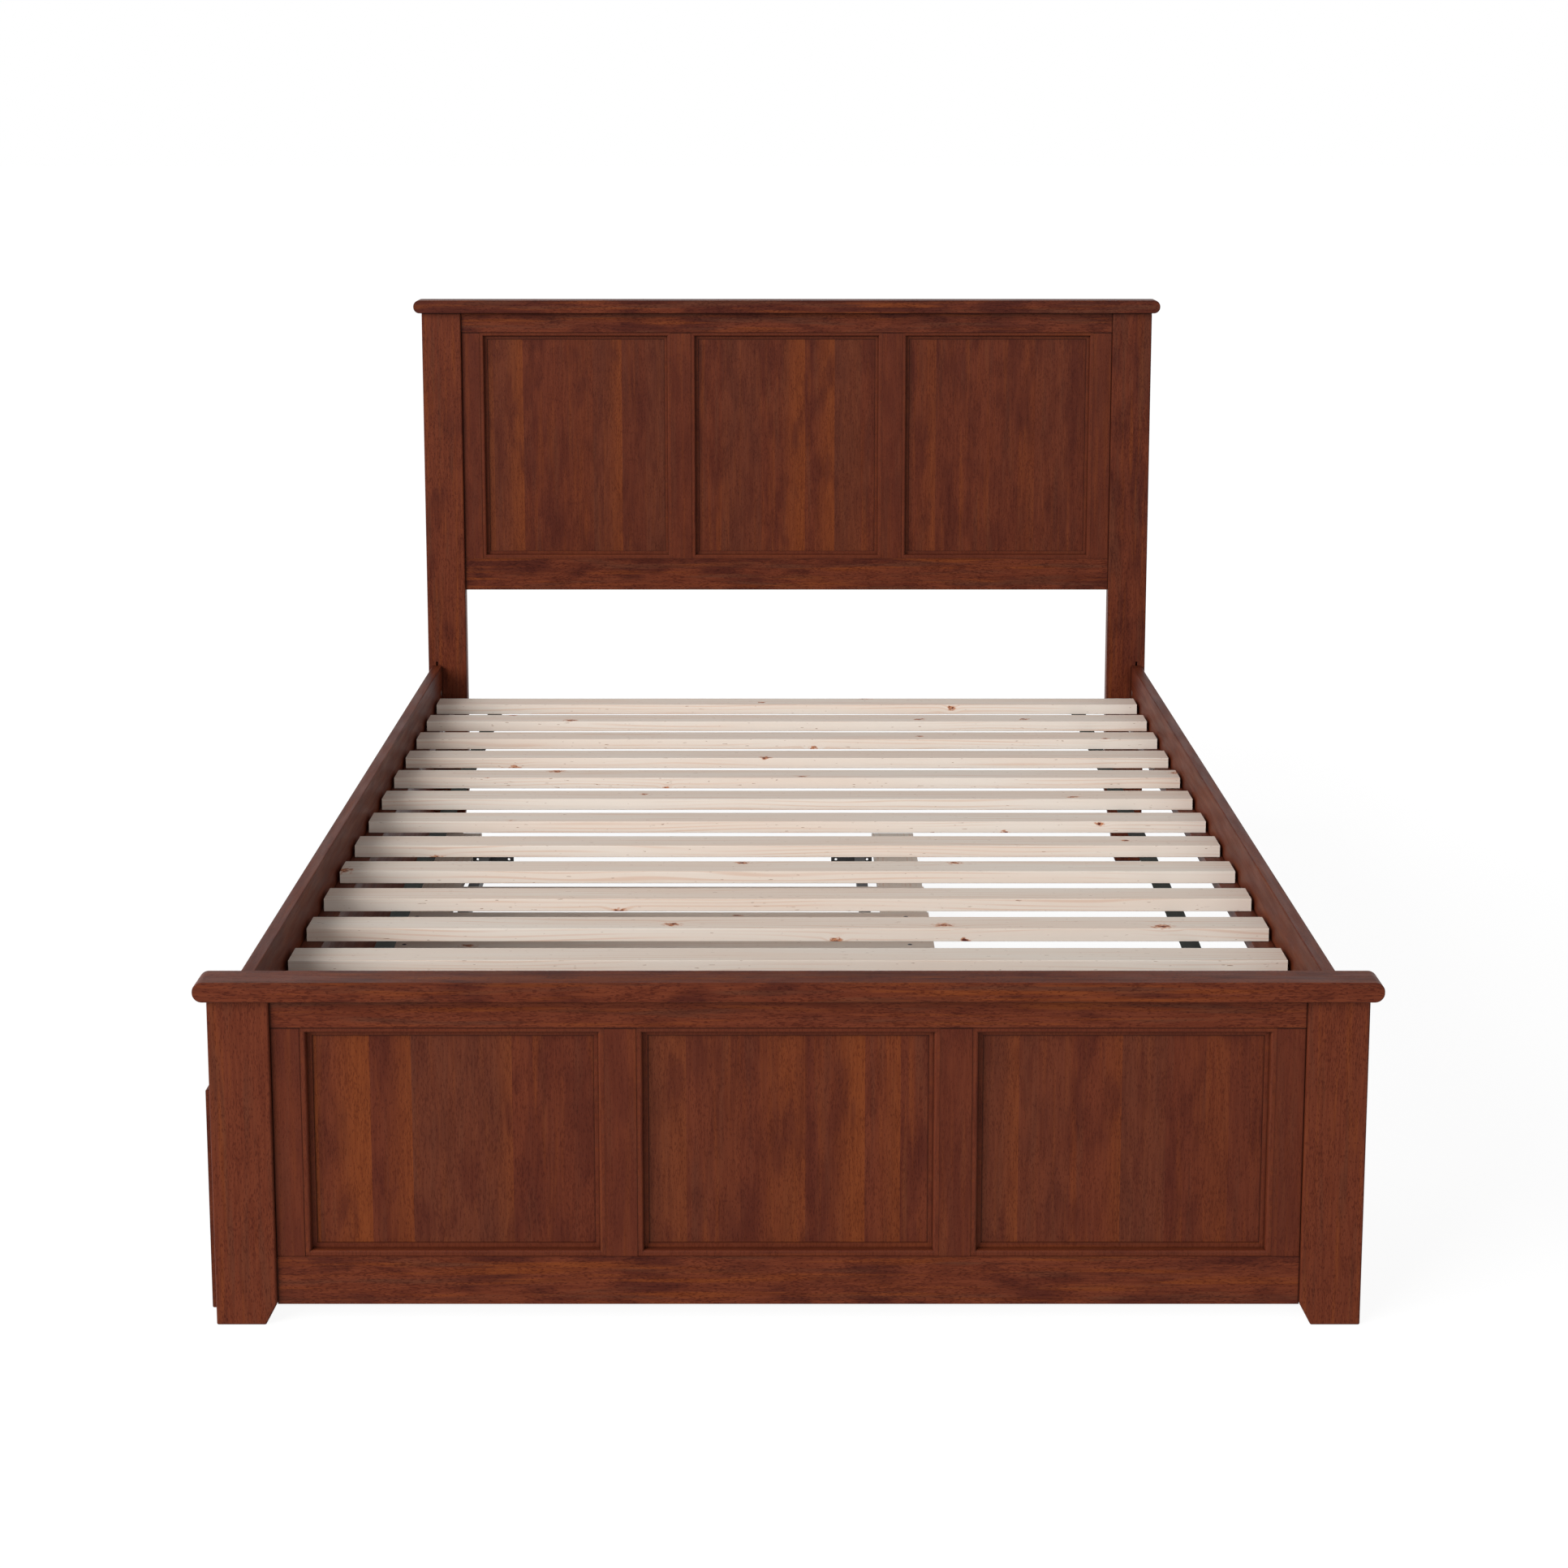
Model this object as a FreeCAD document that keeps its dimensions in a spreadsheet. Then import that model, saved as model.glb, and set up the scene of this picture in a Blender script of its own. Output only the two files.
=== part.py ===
import FreeCAD, Part
import Sketcher
import os
import re

# Platform bed for a full mattress, with a panelled headboard, a matching low
# footboard, a slatted deck and a twin trundle that rolls out from the left side.
# X runs across the bed, Y towards the headboard and Z up.
# The origin is on the floor under the middle of the bed.

doc = FreeCAD.newDocument("platform_bed")
dims = doc.addObject("Spreadsheet::Sheet", "dims")

SIZES = {
    # Posts of the headboard and footboard
    "bed_width": 1430.0,
    "post_width": 76.2,
    "post_thickness": 28.0,
    "post_edge_radius": 2.5,
    "post_foot_radius": 2.0,
    "headboard_post_height": 1109.0,
    "headboard_foot_inset": 24.4,
    "headboard_foot_height": 155.0,
    "footboard_post_height": 424.6,
    "footboard_foot_inset": 14.4,
    "footboard_foot_height": 27.5,
    # Caps along the tops of the end frames
    "cap_thickness": 25.4,
    "cap_front_overhang": 13.0,
    "cap_back_overhang": 4.6,
    "cap_side_overhang": 14.0,
    "cap_end_radius": 12.0,
    "cap_edge_radius": 1.5,
    # Rails, stiles and mullions between the posts
    "frame_recess": 6.0,
    "frame_thickness": 22.0,
    "upright_setback": 1.2,
    "frame_edge_radius": 0.8,
    "top_rail_height": 39.0,
    "bottom_rail_height": 63.0,
    "headboard_opening_height": 450.0,
    "footboard_opening_height": 298.0,
    "stile_width": 36.0,
    "mullion_width": 40.0,
    "tenon_length": 16.0,
    "tenon_thickness": 9.0,
    "tenon_shoulder": 10.0,
    "tenon_clearance": 0.1,
    # Panels in their grooves, and the stepped beads in front of them
    "panel_recess": 13.0,
    "panel_thickness": 5.0,
    "panel_tongue": 7.0,
    "groove_depth": 8.0,
    "bead_setback": 1.8,
    "bead_face_width": 7.2,
    "bead_radius": 3.0,
    "bead_step_width": 6.0,
    "bead_step_depth": 9.6,
    # Side rails and the hooked plates at their ends
    "rail_length": 1927.0,
    "side_rail_thickness": 19.0,
    "side_rail_height": 88.7,
    "side_rail_top": 403.7,
    "side_rail_inset": 7.5,
    "side_rail_edge_radius": 2.0,
    "hook_plate_thickness": 3.0,
    "hook_plate_depth": 27.0,
    "hook_plate_height": 66.0,
    "hook_plate_drop": 12.0,
    "hook_reach": 9.0,
    "hook_height": 12.0,
    "hook_lip": 8.0,
    "hook_lip_width": 4.0,
    "hook_spacing": 34.0,
    "hook_slot_rise": 8.3,
    "hook_clearance": 0.5,
    "barrel_radius": 6.0,
    "barrel_length": 14.0,
    "barrel_drop": 53.0,
    "barrel_end_gap": 13.0,
    "barrel_clearance": 0.05,
    # Slats, the cleats that they lie on and the straps below them
    "slat_count": 14,
    "slat_end_clearance": 5.5,
    "slat_width": 53.0,
    "slat_thickness": 19.0,
    "slat_drop": 50.0,
    "slat_head_gap": 71.0,
    "slat_foot_gap": 46.05,
    "slat_edge_radius": 1.0,
    "cleat_width": 30.0,
    "cleat_thickness": 20.0,
    "strap_width": 28.0,
    "strap_thickness": 1.5,
    "strap_inset": 113.0,
    # Trundle front and deck
    "trundle_panel_thickness": 18.0,
    "trundle_panel_height": 288.0,
    "trundle_panel_edge_radius": 2.0,
    "trundle_floor_gap": 8.0,
    "trundle_side_gap": 1.0,
    "trundle_end_gap": 3.0,
    "trundle_depth": 961.7,
    "trundle_board_top": 67.0,
    "trundle_board_thickness": 19.0,
    "trundle_board_end_gap": 23.5,
    "trundle_board_edge_radius": 1.0,
    "trundle_front_board_width": 97.5,
    "trundle_rear_board_width": 83.0,
    "trundle_slat_count": 12,
    "trundle_slat_width": 50.0,
    "trundle_slat_thickness": 13.0,
    "trundle_slat_margin": 138.5,
    "trundle_slat_end_gap": 14.5,
    "screw_length": 26.0,
    "screw_head_radius": 4.0,
    "screw_head_sink": 0.3,
    "screw_shank_radius": 2.0,
    "screw_clearance": 0.3,
    "screw_point": 4.0,
    "screw_recess_length": 4.4,
    "screw_recess_width": 0.9,
    "screw_recess_depth": 1.2,
    # Cross bearers, and flanged steel tubes between them
    "bearer_end_gap": 179.5,
    "bearer_thickness": 19.0,
    "bearer_height": 19.0,
    "tube_width": 20.0,
    "tube_height": 19.0,
    "tube_wall": 1.5,
    "flange_width": 79.0,
    "flange_height": 38.0,
    "flange_thickness": 2.5,
    "flange_tube_offset": 13.7,
    "flange_hole_radius": 2.5,
    "flange_hole_spacing": 60.6,
    "flange_hole_inset": 6.0,
    "tube_front_gap": 1.5,
    "tube_rear_gap": 5.0,
    # Angle brackets between the trundle front and its deck
    "angle_leg": 34.0,
    "angle_width": 40.0,
    "angle_thickness": 2.5,
    "angle_count": 4,
    "angle_margin": 273.5,
    # Casters
    "wheel_radius": 20.0,
    "wheel_width": 17.0,
    "wheel_edge_radius": 3.0,
    "wheel_hub_radius": 7.0,
    "wheel_rim_width": 4.0,
    "wheel_web_recess": 2.0,
    "axle_radius": 3.0,
    "axle_end": 1.5,
    "axle_clearance": 0.08,
    "fork_clearance": 0.8,
    "fork_thickness": 2.0,
    "fork_length": 30.0,
    "fork_below_axle": 7.0,
    "fork_corner_radius": 7.0,
    "caster_end_gap": 203.5,
}

for row, (alias, size) in enumerate(SIZES.items(), 1):
    dims.set("A%d" % row, alias)
    dims.set("B%d" % row, str(size))
    dims.setAlias("B%d" % row, alias)
doc.recompute()

# Places that several pieces share, as formulas of the sizes above
FOOT_FRONT = "((cap_front_overhang - cap_back_overhang - rail_length) / 2 - post_thickness)"
HEAD_FRONT = "((cap_front_overhang - cap_back_overhang + rail_length) / 2)"
RAIL_START = f"({FOOT_FRONT} + post_thickness)"
RAIL_OUTSIDE = "(bed_width / 2 - side_rail_inset)"
RAIL_INSIDE = f"({RAIL_OUTSIDE} - side_rail_thickness)"
RAIL_BOTTOM = "(side_rail_top - side_rail_height)"
SLAT_BOTTOM = "(side_rail_top - slat_drop - slat_thickness)"
SLAT_LENGTH = f"(2 * ({RAIL_INSIDE} - slat_end_clearance))"
SLAT_RUN = "(rail_length - slat_head_gap - slat_foot_gap)"
SLAT_PITCH = f"(({SLAT_RUN} - slat_width) / (slat_count - 1))"
STRAP_OFFSET = f"({SLAT_LENGTH} / 2 - strap_inset)"
HOOK_BOTTOM = "(side_rail_top - hook_plate_drop - hook_plate_height)"
INNER_WIDTH = "(bed_width - 2 * post_width)"
OPENING_WIDTH = f"(({INNER_WIDTH} - 2 * stile_width - 2 * mullion_width) / 3)"
FRAME_LEFT = "(post_width - bed_width / 2)"
TRUNDLE_FACE = f"(-{RAIL_OUTSIDE} - trundle_side_gap)"
TRUNDLE_REAR = f"({TRUNDLE_FACE} + trundle_depth)"
BOARD_BOTTOM = "(trundle_board_top - trundle_board_thickness)"
BOARD_LENGTH = "(rail_length - 2 * trundle_board_end_gap)"
TRUNDLE_SLAT_PITCH = "((rail_length - 2 * trundle_slat_margin) / (trundle_slat_count - 1))"
ANGLE_PITCH = "((rail_length - 2 * angle_margin) / (angle_count - 1))"
FRONT_BOARD_EDGE = f"({TRUNDLE_FACE} + trundle_front_board_width)"
REAR_BOARD_EDGE = f"({TRUNDLE_REAR} - trundle_rear_board_width)"
BEARER_OFFSET = "(rail_length / 2 - bearer_end_gap)"
CASTER_OFFSET = "(rail_length / 2 - caster_end_gap)"
FORK_WIDTH = "(wheel_width + 2 * fork_clearance + 2 * fork_thickness)"

X_AXIS = FreeCAD.Vector(1, 0, 0)
Y_AXIS = FreeCAD.Vector(0, 1, 0)
Z_AXIS = FreeCAD.Vector(0, 0, 1)
ORIGIN = ("0", "0", "0")

nodes = []


def formula(text):
    """Names the sheet before each size in a formula."""
    return re.sub(r"[a-z][a-z_]*", lambda word: "dims." + word.group(0), text)


def value(text):
    """The number that a formula comes to."""
    return float(dims.evalExpression(formula(text)))


def bind(thing, prop, text):
    thing.setExpression(prop, formula(text))


def place(thing, at):
    for letter, text in zip("xyz", at):
        bind(thing, "Placement.Base." + letter, text)


def new_body(label, at):
    body = doc.addObject("PartDesign::Body", label)
    body.Label = label
    place(body, at)
    return body


def block(body, kind, size, at=ORIGIN):
    """Adds or cuts a box, from its three sizes and its corner."""
    feature = body.newObject(f"PartDesign::{kind}Box", kind + "Box")
    for prop, text in zip(("Length", "Width", "Height"), size):
        bind(feature, prop, text)
    place(feature, at)
    doc.recompute()
    return feature


def rod(body, kind, radius, length, at, axis):
    """Adds or cuts a cylinder that runs along an axis from a point."""
    feature = body.newObject(f"PartDesign::{kind}Cylinder", kind + "Cylinder")
    bind(feature, "Radius", radius)
    bind(feature, "Height", length)
    feature.Placement = FreeCAD.Placement(FreeCAD.Vector(), FreeCAD.Rotation(Z_AXIS, axis))
    place(feature, at)
    doc.recompute()
    return feature


def origin_item(body, role):
    return [item for item in body.Origin.OriginFeatures if item.Role == role][0]


def outline(body, role, loops):
    """A sketch of closed loops of straight lines, each corner set from the origin."""
    sketch = body.newObject("Sketcher::SketchObject", "Outline")
    sketch.AttachmentSupport = [(origin_item(body, role), "")]
    sketch.MapMode = "FlatFace"
    for corners in loops:
        points = [FreeCAD.Vector(value(across), value(up), 0) for across, up in corners]
        ends = points[1:] + points[:1]
        lines = [sketch.addGeometry(Part.LineSegment(*pair)) for pair in zip(points, ends)]
        for line, following in zip(lines, lines[1:] + lines[:1]):
            sketch.addConstraint(Sketcher.Constraint("Coincident", line, 2, following, 1))
        for line, (across, up) in zip(lines, corners):
            for kind, text, zero_axis in (("DistanceX", across, -2), ("DistanceY", up, -1)):
                if text == "0":
                    sketch.addConstraint(Sketcher.Constraint("PointOnObject", line, 1, zero_axis))
                    continue
                fixed = Sketcher.Constraint(kind, -1, 1, line, 1, value(text))
                bind(sketch, f"Constraints[{sketch.addConstraint(fixed)}]", text)
    return sketch


def pad(body, role, loops, length):
    """Pads an outline along the positive axis that is square to its plane."""
    feature = body.newObject("PartDesign::Pad", "Pad")
    feature.Profile = outline(body, role, loops)
    feature.Reversed = role == "XZ_Plane"
    bind(feature, "Length", length)
    body.Tip = feature
    doc.recompute()
    return feature


def rectangle(left, low, right, high):
    return [(left, low), (right, low), (right, high), (left, high)]


def edges_along(shape, axis):
    """The straight edges of a shape that are parallel to an axis."""
    names = []
    for number, edge in enumerate(shape.Edges, 1):
        straight = edge.Curve.TypeId == "Part::GeomLine"
        if straight and abs(edge.tangentAt(edge.FirstParameter).dot(axis)) > 0.999:
            names.append(f"Edge{number}")
    return names


def edges_at(shape, **place_at):
    """The edges of a shape whose points all have the x, y or z values given."""
    names = []
    for number, edge in enumerate(shape.Edges, 1):
        points = edge.discretize(5)
        if all(abs(getattr(point, letter) - level) < 1e-4
               for point in points for letter, level in place_at.items()):
            names.append(f"Edge{number}")
    return names


def ease(body, base, names, radius):
    """Rounds the named edges of a body's last feature."""
    fillet = body.newObject("PartDesign::Fillet", "Eased")
    fillet.Base = (base, names)
    bind(fillet, "Radius", radius)
    doc.recompute()
    return fillet


def board(label, size, at, axis, radius):
    """A planed board, with its four long edges eased."""
    body = new_body(label, at)
    blank = block(body, "Additive", size)
    ease(body, blank, edges_along(blank.Shape, axis), radius)
    return body


def group(label, pieces):
    """Several like pieces that share one node."""
    compound = doc.addObject("Part::Compound", label)
    compound.Label = label
    compound.Links = pieces
    nodes.append(compound)


# Headboard and footboard: two posts, a cap, and a grooved frame of rails, stiles
# and mullions that holds three flat panels behind mitred beads.

def post(label, left, front, height, foot_inset, foot_height, is_left, slot_start, rails):
    """A post whose foot narrows on its inner side, mortised for rails and hooks."""
    body = new_body(label, (left, front, "0"))
    if is_left:
        corners = [("0", "0"), (f"post_width - {foot_inset}", "0"), ("post_width", foot_height),
                   ("post_width", height), ("0", height)]
        hook_middle = "side_rail_inset + side_rail_thickness / 2"
        mortise_left = "post_width - tenon_length - tenon_clearance"
    else:
        corners = [(foot_inset, "0"), ("post_width", "0"), ("post_width", height),
                   ("0", height), ("0", foot_height)]
        hook_middle = "post_width - side_rail_inset - side_rail_thickness / 2"
        mortise_left = "0"
    blank = pad(body, "XZ_Plane", [corners], "post_thickness")
    faces = edges_at(blank.Shape, y=0) + edges_at(blank.Shape, y=value("post_thickness"))
    sides = [name for name in faces if name not in edges_along(blank.Shape, X_AXIS)]
    eased = ease(body, blank, sides, "post_edge_radius")
    ease(body, eased, edges_at(eased.Shape, z=0), "post_foot_radius")
    slot_low = f"{HOOK_BOTTOM} - hook_clearance"
    block(body, "Subtractive",
          ("hook_plate_thickness + 2 * hook_clearance", "hook_reach + hook_clearance",
           f"side_rail_top + hook_slot_rise - ({slot_low})"),
          (f"{hook_middle} - hook_plate_thickness / 2 - hook_clearance", slot_start, slot_low))
    for rail_low, rail_height in rails:
        block(body, "Subtractive",
              ("tenon_length + tenon_clearance", "tenon_thickness + 2 * tenon_clearance",
               f"{rail_height} - 2 * tenon_shoulder + 2 * tenon_clearance"),
              (mortise_left, "frame_recess + (frame_thickness - tenon_thickness) / 2 - tenon_clearance",
               f"{rail_low} + tenon_shoulder - tenon_clearance"))
    nodes.append(body)


def cross_rail(label, front, low, height, groove_at_top):
    """A rail with a panel groove along one edge and a tenon at each end."""
    body = new_body(label, (FRAME_LEFT, front, low))
    blank = block(body, "Additive", (INNER_WIDTH, "frame_thickness", height))
    ease(body, blank, edges_along(blank.Shape, X_AXIS), "frame_edge_radius")
    groove_low = f"{height} - groove_depth" if groove_at_top else "0"
    block(body, "Subtractive", (INNER_WIDTH, "panel_thickness", "groove_depth"),
          ("0", "panel_recess", groove_low))
    for tenon_left in ("-tenon_length", INNER_WIDTH):
        block(body, "Additive", ("tenon_length", "tenon_thickness", f"{height} - 2 * tenon_shoulder"),
              (tenon_left, "(frame_thickness - tenon_thickness) / 2", "tenon_shoulder"))
    nodes.append(body)


def upright(label, left, front, low, height, width, groove_left, groove_right):
    """A stile or mullion behind the rails' face, grooved for panels, with a tongue at each end."""
    body = new_body(label, (left, f"{front} + upright_setback", low))
    blank = block(body, "Additive", (width, "frame_thickness - upright_setback", height))
    ease(body, blank, edges_along(blank.Shape, Z_AXIS), "frame_edge_radius")
    groove = ("groove_depth", "panel_thickness", height)
    groove_front = "panel_recess - upright_setback"
    if groove_left:
        block(body, "Subtractive", groove, ("0", groove_front, "0"))
    if groove_right:
        block(body, "Subtractive", groove, (f"{width} - groove_depth", groove_front, "0"))
    tongue_left = "groove_depth" if groove_left else "0"
    tongue_width = f"{width} - {int(groove_left) + int(groove_right)} * groove_depth"
    for tongue_low in ("-panel_tongue", height):
        block(body, "Additive", (tongue_width, "panel_thickness", "panel_tongue"),
              (tongue_left, groove_front, tongue_low))
    nodes.append(body)


def bead_strip(label, length, at, turn):
    """A bead with a rounded edge and a low step, mitred at both ends to the step's edge."""
    body = new_body(label, at)
    body.Placement = FreeCAD.Placement(FreeCAD.Vector(), FreeCAD.Rotation(Y_AXIS, turn))
    place(body, at)
    back = "panel_recess - bead_setback"
    width = "bead_face_width + bead_step_width"
    profile = [("0", "0"), (back, "0"), (back, width), ("bead_step_depth", width),
               ("bead_step_depth", "bead_face_width"), ("0", "bead_face_width")]
    blank = pad(body, "YZ_Plane", [profile], length)
    rounded = ease(body, blank, edges_at(blank.Shape, y=0, z=value("bead_face_width")), "bead_radius")
    mitres = body.newObject("PartDesign::Pocket", "Mitres")
    mitres.Profile = outline(body, "XZ_Plane", [
        [("0", "0"), (width, width), ("0", width)],
        [(length, "0"), (length, width), (f"{length} - ({width})", width)]])
    mitres.Type = "ThroughAll"
    mitres.Midplane = True
    body.Tip = mitres
    doc.recompute()
    if body.Shape.Volume >= rounded.Shape.Volume:
        raise RuntimeError(label + " has no mitres")
    return body


def end_frame(name, front, post_height, opening_height, foot_inset, foot_height, slot_start):
    """All the pieces of a headboard or footboard."""
    top_low = f"({post_height} - top_rail_height)"
    opening_low = f"({top_low} - {opening_height})"
    bottom_low = f"({opening_low} - bottom_rail_height)"
    rails = [(top_low, "top_rail_height"), (bottom_low, "bottom_rail_height")]
    for side, left in (("left", "-bed_width / 2"), ("right", "bed_width / 2 - post_width")):
        post(f"{name}_post_{side}", left, front, post_height, foot_inset, foot_height,
             side == "left", slot_start, rails)
    frame_front = f"({front} + frame_recess)"
    cross_rail(f"{name}_top_rail", frame_front, top_low, "top_rail_height", False)
    cross_rail(f"{name}_bottom_rail", frame_front, bottom_low, "bottom_rail_height", True)

    second = f"({FRAME_LEFT} + stile_width + {OPENING_WIDTH})"
    third = f"({second} + mullion_width + {OPENING_WIDTH})"
    right = f"({third} + mullion_width + {OPENING_WIDTH})"
    for piece, left, width, groove_left, groove_right in (
            ("stile_left", FRAME_LEFT, "stile_width", False, True),
            ("mullion_left", second, "mullion_width", True, True),
            ("mullion_right", third, "mullion_width", True, True),
            ("stile_right", right, "stile_width", True, False)):
        upright(f"{name}_{piece}", left, frame_front, opening_low, opening_height, width,
                groove_left, groove_right)

    beads = []
    bead_front = f"{frame_front} + bead_setback"
    for piece, left in (("left", f"({FRAME_LEFT} + stile_width)"),
                        ("center", f"({second} + mullion_width)"),
                        ("right", f"({third} + mullion_width)")):
        panel = new_body(f"{name}_panel_{piece}",
                         (f"{left} - panel_tongue", f"{frame_front} + panel_recess",
                          f"{opening_low} - panel_tongue"))
        block(panel, "Additive", (f"{OPENING_WIDTH} + 2 * panel_tongue", "panel_thickness",
                                  f"{opening_height} + 2 * panel_tongue"))
        nodes.append(panel)
        panel_right = f"{left} + {OPENING_WIDTH}"
        opening_high = f"{opening_low} + {opening_height}"
        for edge, length, bead_left, bead_low, turn in (
                ("bottom", OPENING_WIDTH, left, opening_low, 0),
                ("left", opening_height, left, opening_high, 90),
                ("top", OPENING_WIDTH, panel_right, opening_high, 180),
                ("right", opening_height, panel_right, opening_low, 270)):
            beads.append(bead_strip(f"{name}_bead_{piece}_{edge}", length,
                                    (bead_left, bead_front, bead_low), turn))
    group(f"{name}_beads", beads)

    cap = new_body(f"{name}_cap", ("-bed_width / 2 - cap_side_overhang",
                                   f"{front} - cap_front_overhang", post_height))
    blank = block(cap, "Additive", ("bed_width + 2 * cap_side_overhang",
                                    "cap_front_overhang + post_thickness + cap_back_overhang",
                                    "cap_thickness"))
    rounded = ease(cap, blank, edges_along(blank.Shape, Y_AXIS), "cap_end_radius")
    box = rounded.Shape.BoundBox
    long_edges = edges_at(rounded.Shape, y=box.YMin) + edges_at(rounded.Shape, y=box.YMax)
    ease(cap, rounded, long_edges, "cap_edge_radius")
    nodes.append(cap)


end_frame("headboard", HEAD_FRONT, "headboard_post_height", "headboard_opening_height",
          "headboard_foot_inset", "headboard_foot_height", "0")
end_frame("footboard", FOOT_FRONT, "footboard_post_height", "footboard_opening_height",
          "footboard_foot_inset", "footboard_foot_height",
          "post_thickness - hook_reach - hook_clearance")


# Side rails, hung on the posts by steel plates whose hooks drop into the posts'
# slots. A barrel through the rail's inner face holds each plate in its kerf.

BARREL_HEIGHT = "(side_rail_top - barrel_drop)"
KERF_WIDTH = "(hook_plate_thickness + 2 * hook_clearance)"
hook_plates = []
barrels = []
for side, rail_left, inner_face, barrel_axis in (
        ("left", f"(-{RAIL_OUTSIDE})", f"(-{RAIL_INSIDE})", -X_AXIS),
        ("right", RAIL_INSIDE, RAIL_INSIDE, X_AXIS)):
    rail = board(f"side_rail_{side}", ("side_rail_thickness", "rail_length", "side_rail_height"),
                 (rail_left, RAIL_START, RAIL_BOTTOM), Y_AXIS, "side_rail_edge_radius")
    plate_left = f"{rail_left} + (side_rail_thickness - hook_plate_thickness) / 2"
    kerf_low = f"{HOOK_BOTTOM} - hook_clearance - {RAIL_BOTTOM}"
    for end, kerf_start, barrel_y, turn, plate_x, plate_y in (
            ("foot", "0", "barrel_end_gap", 0, plate_left, f"{RAIL_START} - hook_reach"),
            ("head", "rail_length - hook_plate_depth - hook_clearance", "rail_length - barrel_end_gap",
             180, f"{plate_left} + hook_plate_thickness", f"{RAIL_START} + rail_length + hook_reach")):
        block(rail, "Subtractive",
              (KERF_WIDTH, "hook_plate_depth + hook_clearance", "hook_plate_height + 2 * hook_clearance"),
              (f"(side_rail_thickness - {KERF_WIDTH}) / 2", kerf_start, kerf_low))
        rod(rail, "Subtractive", "barrel_radius + barrel_clearance", "barrel_length",
            (f"{inner_face} - {rail_left}", barrel_y, f"{BARREL_HEIGHT} - {RAIL_BOTTOM}"), barrel_axis)

        plate = new_body(f"hook_plate_{side}_{end}", ORIGIN)
        plate.Placement = FreeCAD.Placement(FreeCAD.Vector(), FreeCAD.Rotation(Z_AXIS, turn))
        place(plate, (plate_x, plate_y, HOOK_BOTTOM))
        corners = [("hook_reach", "0"), ("hook_reach + hook_plate_depth", "0"),
                   ("hook_reach + hook_plate_depth", "hook_plate_height"),
                   ("hook_reach", "hook_plate_height")]
        for hook_top in ("hook_plate_height - hook_lip", "hook_plate_height - hook_lip - hook_spacing"):
            corners += [("hook_reach", hook_top), ("0", hook_top),
                        ("0", f"{hook_top} - hook_height - hook_lip"),
                        ("hook_lip_width", f"{hook_top} - hook_height - hook_lip"),
                        ("hook_lip_width", f"{hook_top} - hook_height"),
                        ("hook_reach", f"{hook_top} - hook_height")]
        pad(plate, "YZ_Plane", [corners], "hook_plate_thickness")
        rod(plate, "Subtractive", "barrel_radius + barrel_clearance", "hook_plate_thickness",
            ("0", "hook_reach + barrel_end_gap", f"{BARREL_HEIGHT} - {HOOK_BOTTOM}"), X_AXIS)
        hook_plates.append(plate)

        barrel = new_body(f"barrel_{side}_{end}", ORIGIN)
        rod(barrel, "Additive", "barrel_radius", "barrel_length",
            (inner_face, f"{RAIL_START} + {barrel_y}", BARREL_HEIGHT), barrel_axis)
        barrels.append(barrel)
    nodes.append(rail)
group("rail_hook_plates", hook_plates)
group("rail_barrels", barrels)


# Slatted deck: cleats along the side rails carry loose slats, which two webbing
# straps below hold at an even pitch.

for side, cleat_left in (("left", f"-{RAIL_INSIDE}"), ("right", f"{RAIL_INSIDE} - cleat_width")):
    nodes.append(board(f"slat_cleat_{side}", ("cleat_width", "rail_length", "cleat_thickness"),
                       (cleat_left, RAIL_START, f"{SLAT_BOTTOM} - cleat_thickness"),
                       Y_AXIS, "slat_edge_radius"))

for number in range(int(value("slat_count"))):
    slat_start = f"{HEAD_FRONT} - slat_head_gap - slat_width - {number} * {SLAT_PITCH}"
    nodes.append(board(f"slat_{number + 1:02d}", (SLAT_LENGTH, "slat_width", "slat_thickness"),
                       (f"-{SLAT_LENGTH} / 2", slat_start, SLAT_BOTTOM), X_AXIS, "slat_edge_radius"))

straps = []
for side, sign in (("left", "-"), ("right", "")):
    strap = new_body(f"strap_{side}", (f"{sign}{STRAP_OFFSET} - strap_width / 2",
                                       f"{HEAD_FRONT} - slat_head_gap - {SLAT_RUN}",
                                       f"{SLAT_BOTTOM} - strap_thickness"))
    block(strap, "Additive", ("strap_width", SLAT_RUN, "strap_thickness"))
    straps.append(strap)
group("slat_straps", straps)


# Trundle: a front panel below the left side rail, and a low deck of two long
# boards, cross slats, bearers and flanged steel tubes.

front_panel_length = "rail_length - 2 * trundle_end_gap"
nodes.append(board("trundle_front_panel",
                   ("trundle_panel_thickness", front_panel_length, "trundle_panel_height"),
                   (f"{TRUNDLE_FACE} - trundle_panel_thickness", f"{RAIL_START} + trundle_end_gap",
                    "trundle_floor_gap"), Y_AXIS, "trundle_panel_edge_radius"))
for piece, left in (("front", TRUNDLE_FACE), ("rear", REAR_BOARD_EDGE)):
    nodes.append(board(f"trundle_{piece}_board",
                       (f"trundle_{piece}_board_width", BOARD_LENGTH, "trundle_board_thickness"),
                       (left, f"-{BOARD_LENGTH} / 2", BOARD_BOTTOM), Y_AXIS,
                       "trundle_board_edge_radius"))

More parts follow.
